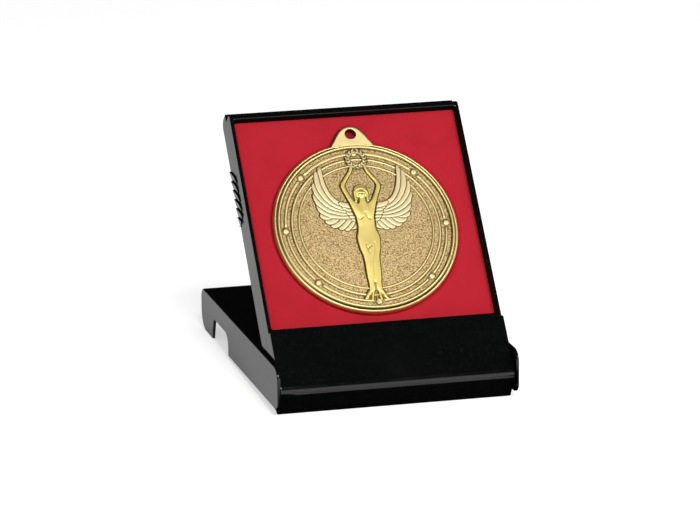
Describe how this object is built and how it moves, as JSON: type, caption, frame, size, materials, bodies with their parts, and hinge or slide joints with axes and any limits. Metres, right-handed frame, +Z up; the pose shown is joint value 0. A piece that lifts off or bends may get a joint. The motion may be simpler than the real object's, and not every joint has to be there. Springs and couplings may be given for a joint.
{
  "type": "medal presentation case",
  "caption": "Folding moulded case that stands as an easel: black tray with a red flocked insert and a round medal, its cover turned under as the foot.",
  "frame": {"origin": "on the table, in the middle of the standing case's width and depth", "axes": "+Z up, +X across the case to the right of the name panel, +Y from the name panel to the back"},
  "size_m": [0.0912, 0.1224, 0.0942],
  "materials": {
    "black_plastic": "black polystyrene, moulded and glossy",
    "red_flock": "short red nylon flock on a formed sheet",
    "gold_plate": "die cast and gold plated, rims polished, field stippled"
  },
  "bodies": {
    "cover_body": {"cover": "black_plastic"},
    "tray_body": {"tray": "black_plastic", "insert": "red_flock", "medal": "gold_plate"}
  },
  "joints": [
    {"name": "tray_hinge", "type": "hinge", "parent": "cover_body", "child": "tray_body", "pos_m": [0, -0.04958, 0.01068], "axis": [1, 0, 0], "range_deg": [0, 310.1]}
  ]
}
